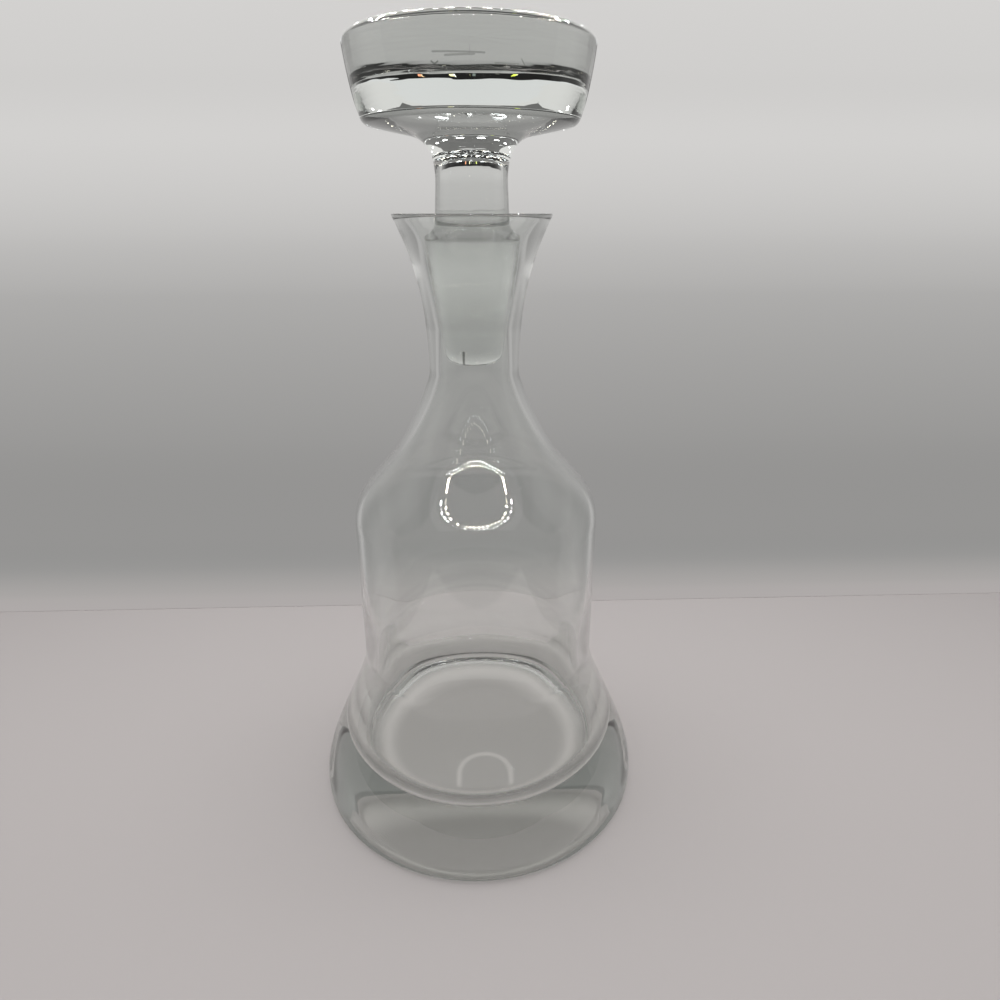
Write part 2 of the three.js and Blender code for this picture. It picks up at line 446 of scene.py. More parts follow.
def decanter_inside(sizes, stopper):
    """From the middle of the cavity's floor up to the rim's inner edge."""
    waist, mid_shoulder, belly_top, flare_top = decanter_heights(sizes)
    floor_middle = point(0, sizes.base_thickness)
    corner = point(sizes.foot_radius - sizes.base_wall, sizes.base_thickness)
    floor_rounding = rounded(
        floor_middle, corner, corner + climb(sizes.cavity_lean), sizes.cavity_corner, 14
    )
    flare = point(sizes.belly_radius - sizes.flare_wall, flare_top)
    belly_inside = sizes.belly_radius - sizes.belly_wall
    belly_middle = point(belly_inside, (flare_top + belly_top) / 2)
    belly_end = point(belly_inside, belly_top)
    shoulder_outside = point(sizes.shoulder_radius, mid_shoulder)
    slope = sizes.shoulder_lean
    shoulder = behind(shoulder_outside, slope, sizes.shoulder_wall)
    neck = point(sizes.neck_radius - sizes.neck_wall, waist)
    seat_top_height = sizes.rim_height - sizes.seat_depth
    seat_top = plug_side(sizes, stopper, seat_top_height, sizes.seat_clearance)
    seat_bottom_height = seat_top_height - sizes.seat_length
    seat_bottom = plug_side(sizes, stopper, seat_bottom_height, sizes.seat_clearance)
    rim = point(sizes.rim_radius - sizes.rim_wall, sizes.rim_height)
    rim_outside = rim + point(sizes.rim_wall, 0)
    reach = INNER_MOUTH_REACH
    mouth = sweep(seat_top, stopper.plug_taper, reach, rim, sizes.rim_lean, reach, 20)
    return joined(
        straight(floor_middle, floor_rounding[0], 12),
        floor_rounding,
        sweep(floor_rounding[-1], sizes.cavity_lean, CAVITY_REACH, flare, 0, INNER_FLARE_REACH),
        sweep(flare, 0, INNER_FLARE_REACH, belly_middle, 0, INNER_FLARE_REACH, 14),
        straight(belly_middle, belly_end, 8),
        sweep(belly_end, 0, INNER_BELLY_REACH, shoulder, slope, INNER_SHOULDER_LOW_REACH),
        sweep(shoulder, slope, INNER_SHOULDER_HIGH_REACH, neck, 0, INNER_NECK_REACH, 24),
        straight(seat_bottom, seat_top, 12),
        mouth[:-1],
        rounded(mouth[-2], rim, rim_outside, sizes.rim_edge_rounding, 5),
    )


def stopper_outline(decanter, sizes):
    """From the tip of the plug up to the middle of the head's top."""
    plug_top = decanter.rim_height - sizes.plug_depth
    tip_height = plug_top - sizes.plug_length
    tip_middle = point(0, tip_height)
    tip_corner = plug_side(decanter, sizes, tip_height)
    plug_edge = plug_side(decanter, sizes, plug_top)
    plug_edge_rise = plug_edge + climb(sizes.plug_shoulder_lean) * MILLIMETRE
    stem_root = point(sizes.stem_root_radius, plug_top + sizes.stem_root_height)
    stem_top = decanter.rim_height + sizes.stem_top
    stem = point(sizes.stem_radius, stem_top)
    underside = point(sizes.underside_radius, stem_top + sizes.underside_height)
    underside_run = (sizes.corner_radius - underside.x) / math.sin(sizes.underside_lean)
    low_corner = underside + climb(sizes.underside_lean) * underside_run
    above_low_corner = low_corner + climb(sizes.head_low_lean)
    low_rounding = rounded(underside, low_corner, above_low_corner, sizes.corner_rounding, 12)
    high_corner = point(sizes.head_radius, sizes.head_top - sizes.head_dome)
    below_high_corner = high_corner - climb(sizes.head_high_lean)
    top_middle = point(0, sizes.head_top)
    high_rounding = rounded(
        below_high_corner, high_corner, top_middle, sizes.head_edge_rounding, 12
    )
    side_low, side_high = low_rounding[-1], high_rounding[0]
    low_lean, high_lean = sizes.head_low_lean, sizes.head_high_lean
    tip_rounding = rounded(tip_middle, tip_corner, plug_edge, sizes.plug_tip_rounding, 16)
    edge_rounding = rounded(tip_corner, plug_edge, plug_edge_rise, sizes.plug_edge_rounding, 6)
    lean_above = sizes.plug_shoulder_lean
    return joined(
        straight(tip_middle, tip_rounding[0], 5),
        tip_rounding,
        straight(tip_rounding[-1], edge_rounding[0], 16)[1:],
        edge_rounding,
        sweep(
            plug_edge_rise, lean_above, PLUG_SHOULDER_REACH, stem_root, 0, STEM_ROOT_REACH, 16
        )[1:],
        straight(stem_root, stem, 10)[1:],
        sweep(stem, 0, STEM_REACH, underside, sizes.underside_lean, UNDERSIDE_REACH, 28),
        straight(underside, low_rounding[0], 6)[1:],
        low_rounding,
        sweep(side_low, low_lean, HEAD_SIDE_REACH, side_high, high_lean, HEAD_SIDE_REACH, 20),
        high_rounding,
        straight(high_rounding[-1], top_middle, 14)[1:],
        [top_middle],
    )


# Node helpers


def feed(tree, socket, value):
    """Gives a socket its link or its value."""
    if isinstance(value, bpy.types.NodeSocket):
        tree.links.new(value, socket)
    else:
        socket.default_value = value


def put(tree, kind, inputs=None, **settings):
    """A new node with its settings and with its inputs, each a socket to link or a value."""
    node = tree.nodes.new(kind)
    for name, value in settings.items():
        setattr(node, name, value)
    for name, value in (inputs or {}).items():
        feed(tree, node.inputs[name], value)
    return node


def sums(tree, operation, first, second=0.0, third=0.0, clamp=False):
    """The output of one Math node."""
    inputs = {0: first, 1: second, 2: third}
    node = put(tree, "ShaderNodeMath", inputs, operation=operation, use_clamp=clamp)
    return node.outputs[0]


def vectors(tree, operation, first, second):
    """The outputs of one Vector Math node: a vector and a number."""
    return put(tree, "ShaderNodeVectorMath", {0: first, 1: second}, operation=operation).outputs


def vector_of(tree, x, y, z=0.0):
    """The vector with these parts."""
    return put(tree, "ShaderNodeCombineXYZ", {0: x, 1: y, 2: z}).outputs[0]


def parts_of(tree, vector):
    """The three parts of a vector."""
    return put(tree, "ShaderNodeSeparateXYZ", {0: vector}).outputs


def noise(tree, vector, scale, detail=1.0, distortion=0.0):
    """A cloudy pattern of values round one half."""
    inputs = {"Vector": vector, "Scale": scale, "Detail": detail, "Distortion": distortion}
    return put(tree, "ShaderNodeTexNoise", inputs).outputs[0]


def flat_distance(tree, x, y):
    """How far a place is from the middle."""
    squares = sums(tree, "MULTIPLY_ADD", x, x, sums(tree, "MULTIPLY", y, y))
    return sums(tree, "SQRT", squares)


def between(tree, value, low, high):
    """How far a value is from low to high, as 0 to 1 with a smooth start and end."""
    inputs = {"Value": value, "From Min": low, "From Max": high}
    node = put(tree, "ShaderNodeMapRange", inputs, interpolation_type="SMOOTHSTEP")
    return node.outputs["Result"]


def blend_colours(tree, factor, first, second):
    """Two colours mixed by a factor."""
    node = put(tree, "ShaderNodeMix", data_type="RGBA")
    given = (("Factor", "VALUE", factor), ("A", "RGBA", first), ("B", "RGBA", second))
    for name, kind, value in given:
        socket = next(item for item in node.inputs if item.name == name and item.type == kind)
        feed(tree, socket, value)
    return next(item for item in node.outputs if item.type == "RGBA")


def group_sockets(tree, inputs, outputs):
    """Names a group's sockets. An input is given by its kind or by its default number."""
    for name, given in inputs.items():
        kind = given if isinstance(given, str) else type(given).__name__.capitalize()
        socket = tree.interface.new_socket(name, in_out="INPUT", socket_type="NodeSocket" + kind)
        if kind != given:
            socket.default_value = given
    for name, kind in outputs.items():
        tree.interface.new_socket(name, in_out="OUTPUT", socket_type="NodeSocket" + kind)
    return tree.nodes.new("NodeGroupInput").outputs, tree.nodes.new("NodeGroupOutput").inputs


def use_group(tree, group, inputs):
    """The outputs of a shader group that is placed in a tree with its own values."""
    return put(tree, "ShaderNodeGroup", inputs, node_tree=group).outputs


def shared_group(inputs, outputs):
    """Makes of a function that fills a shader group one that gives this group, made once."""

    def wrap(fill):
        def group():
            tree = bpy.data.node_groups.get(fill.__name__)
            if tree is None:
                tree = bpy.data.node_groups.new(fill.__name__, "ShaderNodeTree")
                fill(tree, *group_sockets(tree, inputs, outputs))
            return tree

        return group

    return wrap


def new_material(name):
    """A material with an empty node tree, and this tree."""
    material = bpy.data.materials.new(name)
    material.use_nodes = True
    material.node_tree.nodes.clear()
    return material, material.node_tree


# Geometry Nodes


def geometry_tree(name, inputs):
    """A modifier's tree with these inputs and a material, and the sockets inside it."""
    tree = bpy.data.node_groups.new(name, "GeometryNodeTree")
    tree.is_modifier = True
    shape = {"Geometry": "Geometry"}
    return tree, *group_sockets(tree, {**shape, **inputs, "Material": "Material"}, shape)


def end_tree(tree, shape, given, result):
    """The last nodes of a modifier's tree: real geometry with its material."""
    real = put(tree, "GeometryNodeRealizeInstances", {"Geometry": shape})
    inputs = {"Geometry": real.outputs[0], "Material": given["Material"]}
    finished = put(tree, "GeometryNodeSetMaterial", inputs)
    tree.links.new(finished.outputs[0], result["Geometry"])


def turning_tree():
    """Turns an outline, a line of points in the XZ plane, into a closed piece round the Z axis.

    Waviness draws the walls in by a slow noise, as blown glass is never quite even, and never
    lets them out past the outline.
    """
    inputs = {"Turn Steps": 200, "Waviness": 0.00003, "Wave Size": 0.03, "Seed": 1.0}
    tree, given, result = geometry_tree("turned_glass", inputs)
    outline = given["Geometry"]
    size = put(tree, "GeometryNodeAttributeDomainSize", {"Geometry": outline}, component="MESH")
    columns = sums(tree, "ADD", given["Turn Steps"], 1.0)
    rows = size.outputs["Point Count"]
    grid = put(tree, "GeometryNodeMeshGrid", {"Vertices X": rows, "Vertices Y": columns})
    index = put(tree, "GeometryNodeInputIndex").outputs[0]
    row = sums(tree, "FLOOR", sums(tree, "DIVIDE", sums(tree, "ADD", index, 0.5), columns))
    column = sums(tree, "SUBTRACT", index, sums(tree, "MULTIPLY", row, columns))
    position = put(tree, "GeometryNodeInputPosition").outputs[0]
    inputs = {"Geometry": outline, "Value": position, "Index": row}
    sampled = put(tree, "GeometryNodeSampleIndex", inputs, data_type="FLOAT_VECTOR")
    spot = parts_of(tree, sampled.outputs[0])
    turn = sums(tree, "DIVIDE", sums(tree, "MULTIPLY", column, -math.tau), given["Turn Steps"])
    circle = (sums(tree, "COSINE", turn), sums(tree, "SINE", turn))
    at_rest = vector_of(tree, circle[0], circle[1], spot[2])
    beside = vectors(tree, "MULTIPLY", at_rest, (WAVE_RADIUS, WAVE_RADIUS, 1.0))[0]
    scale = sums(tree, "DIVIDE", 1.0, given["Wave Size"])
    inputs = {"Vector": beside, "W": given["Seed"], "Scale": scale, "Detail": 1.0}
    waves = put(tree, "ShaderNodeTexNoise", inputs, noise_dimensions="4D")
    away_from_axis = between(tree, spot[0], *WAVE_START)
    depth = sums(tree, "MULTIPLY", given["Waviness"], away_from_axis)
    drawn_in = sums(tree, "MULTIPLY", waves.outputs[0], depth)
    radius = sums(tree, "SUBTRACT", spot[0], drawn_in)
    x = sums(tree, "MULTIPLY", radius, circle[0])
    y = sums(tree, "MULTIPLY", radius, circle[1])
    inputs = {"Geometry": grid.outputs["Mesh"], "Position": vector_of(tree, x, y, spot[2])}
    shaped = put(tree, "GeometryNodeSetPosition", inputs)
    inputs = {"Geometry": shaped.outputs[0], "Distance": 1e-6}
    closed = put(tree, "GeometryNodeMergeByDistance", inputs)
    smooth = put(tree, "GeometryNodeSetShadeSmooth", {"Geometry": closed.outputs[0]})
    end_tree(tree, smooth.outputs[0], given, result)
    return tree


def lamp_row_tree():
    """Small round lamps that lie level, evenly spaced round a circle."""
    inputs = {"Count": 42, "Row Radius": 0.1, "Lamp Radius": 0.002}
    tree, given, result = geometry_tree("lamp_row", inputs)
    inputs = {"Vertices": given["Count"], "Radius": given["Row Radius"]}
    row = put(tree, "GeometryNodeMeshCircle", inputs)
    inputs = {"Vertices": LAMP_SIDES, "Radius": given["Lamp Radius"]}
    lamp = put(tree, "GeometryNodeMeshCircle", inputs, fill_type="NGON")
    inputs = {"Points": row.outputs[0], "Instance": lamp.outputs[0]}
    lamps = put(tree, "GeometryNodeInstanceOnPoints", inputs)
    end_tree(tree, lamps.outputs[0], given, result)
    return tree


def add_object(name, data):
    """An object in the scene with this data."""
    item = bpy.data.objects.new(name, data)
    bpy.context.scene.collection.objects.link(item)
    return item


def run_tree(piece, tree, values):
    """Runs a tree on a piece with these named inputs and keeps its result as a plain mesh."""
    modifier = piece.modifiers.new(tree.name, "NODES")
    modifier.node_group = tree
    for item in tree.interface.items_tree:
        if item.item_type == "SOCKET" and item.in_out == "INPUT" and item.name in values:
            modifier[item.identifier] = values[item.name]
    graph = bpy.context.evaluated_depsgraph_get()
    mesh = bpy.data.meshes.new_from_object(piece.evaluated_get(graph), depsgraph=graph)
    piece.modifiers.remove(modifier)
    mesh.name = piece.name
    piece.data = mesh
    return piece


def line_object(name, points):
    """An object whose mesh is a line of points in the XZ plane."""
    mesh = bpy.data.meshes.new(name)
    places = [(spot.x, 0, spot.y) for spot in points]
    mesh.from_pydata(places, [(i, i + 1) for i in range(len(points) - 1)], [])
    return add_object(name, mesh)


def turned_piece(name, outline, material, look, seed):
    """The glass piece that an outline makes when it is turned."""
    piece = line_object(name, outline)
    tree = bpy.data.node_groups.get("turned_glass") or turning_tree()
    values = {
        "Turn Steps": look.turn_steps,
        "Waviness": look.waviness,
        "Wave Size": look.wave_size,
        "Seed": seed,
        "Material": material,
    }
    return run_tree(piece, tree, values)


# Shader groups


@shared_group(
    {"Position": "Vector", "Middle Radius": 0.03},
    {"Vector": "Vector", "Radius": "Float", "Height": "Float"},
)
def round_the_axis(tree, given, result):
    """Coordinates that run round a turned piece: distance along the surface, height, radius."""
    part = parts_of(tree, given["Position"])
    back = sums(tree, "MULTIPLY", part[1], -1.0)
    angle = sums(tree, "ARCTAN2", part[0], back)
    around = sums(tree, "MULTIPLY", angle, given["Middle Radius"])
    radius = flat_distance(tree, part[0], part[1])
    tree.links.new(vector_of(tree, around, part[2], radius), result["Vector"])
    tree.links.new(radius, result["Radius"])
    tree.links.new(part[2], result["Height"])


@shared_group(
    {"Vector": "Vector", "Length": 0.006, "Width": 0.0003, "Turn": 0.2, "Amount": 0.1},
    {"Mask": "Float"},
)
def fine_scratches(tree, given, result):
    """Short hair scratches that lie mostly one way. The mask is 1 on a scratch."""
    inputs = {"Vector": given["Vector"], "Angle": given["Turn"]}
    turned = put(tree, "ShaderNodeVectorRotate", inputs, rotation_type="Z_AXIS")
    along = sums(tree, "DIVIDE", 1.0, given["Length"])
    across = sums(tree, "DIVIDE", 0.15, given["Width"])
    stretch = vector_of(tree, along, across, 40.0)
    stretched = vectors(tree, "MULTIPLY", turned.outputs[0], stretch)[0]
    cells = put(tree, "ShaderNodeTexVoronoi", {"Vector": stretched, "Scale": 1.0})
    line = between(tree, cells.outputs["Distance"], 0.12, 0.04)
    chance = put(tree, "ShaderNodeSeparateColor", {0: cells.outputs["Color"]}).outputs[0]
    kept = sums(tree, "LESS_THAN", chance, given["Amount"])
    tree.links.new(sums(tree, "MULTIPLY", line, kept), result["Mask"])


@shared_group({"Vector": "Vector", "Smear Size": 0.02}, {"Haze": "Float"})
def handling_haze(tree, given, result):
    """The faint cloudiness of handled glass, in soft smears."""
    scale = sums(tree, "DIVIDE", 1.0, given["Smear Size"])
    smear = noise(tree, given["Vector"], scale, 3.0, 0.6)
    tree.links.new(between(tree, smear, 0.45, 0.75), result["Haze"])


# Materials


def glass_finish(name, look, density, ground_mask, middle_radius, marks=None, ripple=0.0):
    """Clear glass with ground faces, fine scratches, ripples and a trace of handling.

    ground_mask takes the tree, the radius and the height, and gives the socket that is 1 on
    ground glass. marks, where given, takes the tree and the position, and gives the mask of
    the dark strokes.
    """
    material, tree = new_material(name)
    position = put(tree, "ShaderNodeTexCoord").outputs["Object"]
    inputs = {"Position": position, "Middle Radius": middle_radius}
    around = use_group(tree, round_the_axis(), inputs)
    haze = use_group(tree, handling_haze(), {"Vector": around["Vector"], "Smear Size": 0.018})
    inputs = {"Vector": around["Vector"], "Turn": 0.25, "Amount": look.scratch_amount}
    scratches = use_group(tree, fine_scratches(), inputs)
    ground = ground_mask(tree, around["Radius"], around["Height"])
    grind = noise(tree, position, 3500.0, 2.0)
    handled = sums(tree, "MULTIPLY", haze["Haze"], look.haze_roughness)
    worn = sums(tree, "MULTIPLY_ADD", scratches["Mask"], 0.25, handled)
    roughness = sums(tree, "MULTIPLY_ADD", ground, look.ground_roughness, worn, clamp=True)
    colour = (*look.clear_colour, 1.0)
    if marks:
        colour = blend_colours(tree, marks(tree, position), colour, STROKE_COLOUR)
    stretched = vectors(tree, "MULTIPLY", around["Vector"], RIPPLE_STRETCH)[0]
    ripples = noise(tree, stretched, 1.0)
    ground_depth = sums(tree, "MULTIPLY", grind, sums(tree, "MULTIPLY", ground, 0.5))
    worked = sums(tree, "SUBTRACT", ground_depth, scratches["Mask"])
    height = sums(tree, "MULTIPLY_ADD", ripples, ripple, worked)
    bump = put(tree, "ShaderNodeBump", {"Height": height, "Strength": 0.35, "Distance": 0.00004})
    inputs = {
        "Base Color": colour,
        "Metallic": 0.0,
        "Roughness": roughness,
        "IOR": 1.5,
        "Transmission Weight": 1.0,
        "Normal": bump.outputs[0],
    }
    shader = put(tree, "ShaderNodeBsdfPrincipled", inputs)
    through = put(tree, "ShaderNodeBsdfTransparent", {"Color": (*[look.shadow_pass] * 3, 1.0)})
    path = put(tree, "ShaderNodeLightPath").outputs
    often_reflected = sums(tree, "GREATER_THAN", path["Glossy Depth"], MOST_REFLECTIONS)
    straight_on = sums(tree, "MAXIMUM", path["Is Shadow Ray"], often_reflected)
    inputs = {0: straight_on, 1: shader.outputs[0], 2: through.outputs[0]}
    surface = put(tree, "ShaderNodeMixShader", inputs)
    inputs = {"Color": (*look.mass_colour, 1.0), "Density": density}
    inside = put(tree, "ShaderNodeVolumeAbsorption", inputs)
    inputs = {"Surface": surface.outputs[0], "Volume": inside.outputs[0]}
    put(tree, "ShaderNodeOutputMaterial", inputs)
    return material


@shared_group(
    {"Radius": 0.0, "Foot Radius": 0.06, "Ring Radius": 0.04, "Ring Width": 0.008},
    {"Under Foot": "Float", "Ring": "Float"},
)
def gathered_light(tree, given, result):
    """Where the paper's colour is painted lighter, as painted light that a glass foot gathers: all
    under it, and more in a ring.
    """
    radius = given["Radius"]
    edge = sums(tree, "SUBTRACT", given["Foot Radius"], 0.006)
    tree.links.new(between(tree, radius, given["Foot Radius"], edge), result["Under Foot"])
    away = sums(tree, "ABSOLUTE", sums(tree, "SUBTRACT", radius, given["Ring Radius"]))
    tree.links.new(between(tree, away, given["Ring Width"], 0.0), result["Ring"])


@shared_group(
    {
        "Position": "Vector",
        "Across": 0.0,
        "Forward": 0.02,
        "Radius": 0.0103,
        "Width": 0.0018,
        "Leg": 0.014,
    },
    {"Mask": "Float"},
)
def arch_of_light(tree, given, result):
    """A thin painted highlight on the paper, a painted reflection of the ring of lamps: a half
    ring with straight legs towards the viewer.
    """
    part = parts_of(tree, given["Position"])
    aside = sums(tree, "SUBTRACT", part[0], given["Across"])
    along = sums(tree, "ADD", part[1], given["Forward"])
    past = sums(tree, "MAXIMUM", along, 0.0)
    outside = sums(tree, "SUBTRACT", flat_distance(tree, aside, past), given["Radius"])
    off_line = sums(tree, "ABSOLUTE", outside)
    line = between(tree, off_line, given["Width"], 0.0)
    leg_end = sums(tree, "MULTIPLY", given["Leg"], -1.0)
    kept = between(tree, along, leg_end, sums(tree, "MULTIPLY", leg_end, 0.3))
    tree.links.new(sums(tree, "MULTIPLY", line, kept), result["Mask"])


@shared_group(
    {"Position": "Vector", "Start": "Vector", "End": "Vector", "Width": 0.0003},
    {"Mask": "Float"},
)
def short_stroke(tree, given, result):
    """A short straight stroke on a piece's front, between two places given as (x, z)."""
    part = parts_of(tree, given["Position"])
    place = vector_of(tree, part[0], part[2])
    run = vectors(tree, "SUBTRACT", given["End"], given["Start"])[0]
    offset = vectors(tree, "SUBTRACT", place, given["Start"])[0]
    along = vectors(tree, "DOT_PRODUCT", offset, run)[1]
    whole = vectors(tree, "DOT_PRODUCT", run, run)[1]
    part_way = sums(tree, "DIVIDE", along, whole, clamp=True)
    nearest = vectors(tree, "MULTIPLY", run, vector_of(tree, part_way, part_way))[0]
    away = vectors(tree, "DISTANCE", offset, nearest)[1]
    line = between(tree, away, given["Width"], sums(tree, "MULTIPLY", given["Width"], 0.4))
    front = sums(tree, "LESS_THAN", part[1], 0.0)
    tree.links.new(sums(tree, "MULTIPLY", line, front), result["Mask"])


def paper_finish(name, look):
    """Matt paper with a faint tooth, and painted light in its colour: lighter where the glass foot
    gathers light, and a painted highlight arch.
    """
    material, tree = new_material(name)
    position = put(tree, "ShaderNodeTexCoord").outputs["Object"]
    tooth = noise(tree, position, 900.0, 3.0)
    bump = put(tree, "ShaderNodeBump", {"Height": tooth, "Strength": 0.08, "Distance": 0.0002})
    around = use_group(tree, round_the_axis(), {"Position": position})
    inputs = {
        "Radius": around["Radius"],
        "Ring Radius": look.light_ring,
        "Ring Width": look.light_ring_width,
    }
    gathered = use_group(tree, gathered_light(), inputs)
    # Painted light: the paper's colour is made lighter under the foot, and lighter still in the
    # ring.
    gains = (1.0, look.light_under, look.light_in_ring)
    plain, lighter, lightest = [
        (*(part * gain for part in look.floor_colour), 1.0) for gain in gains
    ]
    under = blend_colours(tree, gathered["Under Foot"], plain, lighter)
    ringed = blend_colours(tree, gathered["Ring"], under, lightest)
    # Painted highlight: a thin arch on the paper, made as light as the ring.
    inputs = {"Position": position, "Across": 0.002, "Forward": 0.0205}
    arch = use_group(tree, arch_of_light(), inputs)
    highlighted = blend_colours(tree, arch["Mask"], ringed, lightest)
    inputs = {"Base Color": highlighted, "Roughness": 0.9, "Specular IOR Level": 0.1}
    shader = put(tree, "ShaderNodeBsdfPrincipled", {**inputs, "Normal": bump.outputs[0]})
    put(tree, "ShaderNodeOutputMaterial", {"Surface": shader.outputs[0]})
    return material


def shown_finish(name, stops, axis=2, mirrored_only=False):
    """A stage surface that glows with painted light and shade in given tones, takes no light and
    is clear from behind.

    stops are (distance, tone) pairs, measured from the middle of the base along the axis,
    which is 0, 1 or 2 for X, Y or Z. mirrored_only keeps the surface from showing straight
    through glass.
    """
    material, tree = new_material(name)
    position = put(tree, "ShaderNodeTexCoord").outputs["Object"]
    distance = sums(tree, "ABSOLUTE", parts_of(tree, position)[axis])
    farthest = stops[-1][0]
    ramp = put(tree, "ShaderNodeValToRGB", {0: sums(tree, "DIVIDE", distance, farthest)})
    ramp.color_ramp.interpolation = "CARDINAL"
    marks = ramp.color_ramp.elements
    while len(marks) < len(stops):
        marks.new(0.5)
    for mark, (place, tone) in zip(marks, stops):
        colour = tone if isinstance(tone, tuple) else [part * tone for part in TONE_WARMTH]
        mark.position = place / farthest
        mark.color = (*colour, 1)
    shader = put(tree, "ShaderNodeEmission", {"Color": ramp.outputs[0]})
    behind_it = put(tree, "ShaderNodeNewGeometry").outputs["Backfacing"]
    path = put(tree, "ShaderNodeLightPath").outputs
    unseen = sums(tree, "MULTIPLY", behind_it, path["Is Camera Ray"])
    if mirrored_only:
        straight_through = sums(tree, "LESS_THAN", path["Glossy Depth"], 0.5)
        unseen = sums(tree, "MAXIMUM", unseen, straight_through)
    clear = put(tree, "ShaderNodeBsdfTransparent")
    inputs = {0: unseen, 1: shader.outputs[0], 2: clear.outputs[0]}
    surface = put(tree, "ShaderNodeMixShader", inputs)
    put(tree, "ShaderNodeOutputMaterial", {"Surface": surface.outputs[0]})
    return material


def plain_tone(name, tone):
    """A stage surface that glows with one painted tone all over."""
    return shown_finish(name, [(0, tone), (0.1, tone)])


def lamp_finish(name, colour, strength):
    """A small lamp that shows in the glass but lights nothing, so that no speckles arise."""
    material, tree = new_material(name)
    path = put(tree, "ShaderNodeLightPath").outputs
    direct = sums(tree, "LESS_THAN", path["Diffuse Depth"], 0.5)
    inputs = {"Color": (*colour, 1.0), "Strength": sums(tree, "MULTIPLY", direct, strength)}
    shader = put(tree, "ShaderNodeEmission", inputs)
    put(tree, "ShaderNodeOutputMaterial", {"Surface": shader.outputs[0]})
    return material


# Stage


def stage_piece(name, places, faces, material):
    """A piece of the stage from its places and its faces."""
    mesh = bpy.data.meshes.new(name)
    mesh.from_pydata(places, [], faces)
    mesh.materials.append(material)
    piece = add_object(name, mesh)
    return piece


def sheet_object(name, corners, material):
    """One flat stage surface."""
    return stage_piece(name, corners, [tuple(range(len(corners)))], material)


def upright_card(name, half_width, y, low, high, material):
    """A card that stands across the view and shows only in the glass."""
    outline = ((-half_width, low), (half_width, low), (half_width, high), (-half_width, high))
    return only_in_glass(sheet_object(name, [(x, y, z) for x, z in outline], material))


def level_card(name, half_width, front, back, level, material):
    """A card that lies level and shows only in the glass."""
    outline = ((-half_width, front), (half_width, front), (half_width, back), (-half_width, back))
    return only_in_glass(sheet_object(name, [(x, y, level) for x, y in outline], material))


def circle_points(radius, sides):
    """Corners of a level circle round the axis."""
    turns = [math.tau * side / sides for side in range(sides)]
    return [(radius * math.cos(turn), radius * math.sin(turn)) for turn in turns]


def lamp_spots(name, places, radius, material):
    """Round lamps that lie level, at these places."""
    circle = circle_points(radius, LAMP_SIDES)
    corners = [(x + along, y + across, z) for x, y, z in places for along, across in circle]
    faces = [tuple(range(i * LAMP_SIDES, (i + 1) * LAMP_SIDES)) for i in range(len(places))]
    return stage_piece(name, corners, faces, material)


def only_in_glass(piece):
    """A stage surface that shows only as a reflection, or through glass."""
    piece.visible_camera = False
    piece.visible_diffuse = False
    piece.visible_shadow = False
    return piece


def swept_backdrop(look, half_width, height, material):
    """A wall that bends softly out of the floor."""
    foot, bend = look.wall_foot, look.wall_bend
    steps = 12
    turns = [math.pi / 2 * step / steps for step in range(steps + 1)]
    line = [
        (foot - bend + bend * math.sin(turn), bend - bend * math.cos(turn)) for turn in turns
    ]
    line.append((foot, height))
    places = [(side * half_width, y, z) for y, z in line for side in (-1, 1)]
    faces = [(2 * i, 2 * i + 1, 2 * i + 3, 2 * i + 2) for i in range(len(line) - 1)]
    piece = stage_piece("backdrop", places, faces, material)
    for face in piece.data.polygons:
        face.use_smooth = True


def soft_lamp(name, place, width, power):
    """A large soft lamp, facing down, that shows in no reflection."""
    light = bpy.data.lights.new(name, "AREA")
    light.shape = "SQUARE"
    light.size = width
    light.energy = power
    lamp = add_object(name, light)
    lamp.location = place
    lamp.visible_camera = False
    lamp.visible_glossy = False
    lamp.visible_transmission = False


def surroundings(look):
    """An even fill for the floor, and dim surroundings in the glass."""
    world = bpy.data.worlds.new("surroundings")
    bpy.context.scene.world = world
    world.use_nodes = True
    tree = world.node_tree
    tree.nodes.clear()
    shade = put(tree, "ShaderNodeBackground", {"Strength": look.fill_power})
    put(tree, "ShaderNodeOutputWorld", {"Surface": shade.outputs[0]})


def place_camera(look):
    """The camera at the photograph's viewing angle."""
    camera = bpy.data.cameras.new("camera")
    camera.sensor_width = 36
    camera.lens = look.focal_share * camera.sensor_width
    camera.clip_start = 0.01
    holder = add_object("camera", camera)
    holder.location = (0, -look.camera_distance, look.camera_height)
    holder.rotation_euler = (math.pi / 2 - look.camera_pitch, 0, -look.camera_yaw)
    bpy.context.scene.camera = holder


# Operators and panel


class OBJECT_OT_glass_decanter(bpy.types.Operator):
    """Turn the vessel from its outline and give it its glass"""

    bl_idname = "object.glass_decanter"
    bl_label = "Decanter"

    def execute(self, context):
        sizes = context.scene.decanter_sizes
        stopper = context.scene.stopper_sizes
        look = context.scene.glass_look
        inside = decanter_inside(sizes, stopper)
        outline = joined(decanter_outside(sizes), inside[::-1])
        seat_top = sizes.rim_height - sizes.seat_depth
        seat_bottom = seat_top - sizes.seat_length
        ground_radius = 13.2 * MILLIMETRE

        def seat_mask(tree, radius, height):
            soft_edge = ground_radius + 0.2 * MILLIMETRE
            on_inside = between(tree, radius, soft_edge, ground_radius)
            low = between(tree, height, seat_bottom - MILLIMETRE, seat_bottom)
            high = between(tree, height, seat_top + MILLIMETRE, seat_top)
            return sums(tree, "MULTIPLY", on_inside, sums(tree, "MULTIPLY", low, high))

        density, middle = look.decanter_density, sizes.belly_radius
        material = glass_finish("decanter_glass", look, density, seat_mask, middle)
        piece = turned_piece("decanter_body", outline, material, look, DECANTER_SEED)
        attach(piece, "decanter")
        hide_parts("decanter")
        return {"FINISHED"}


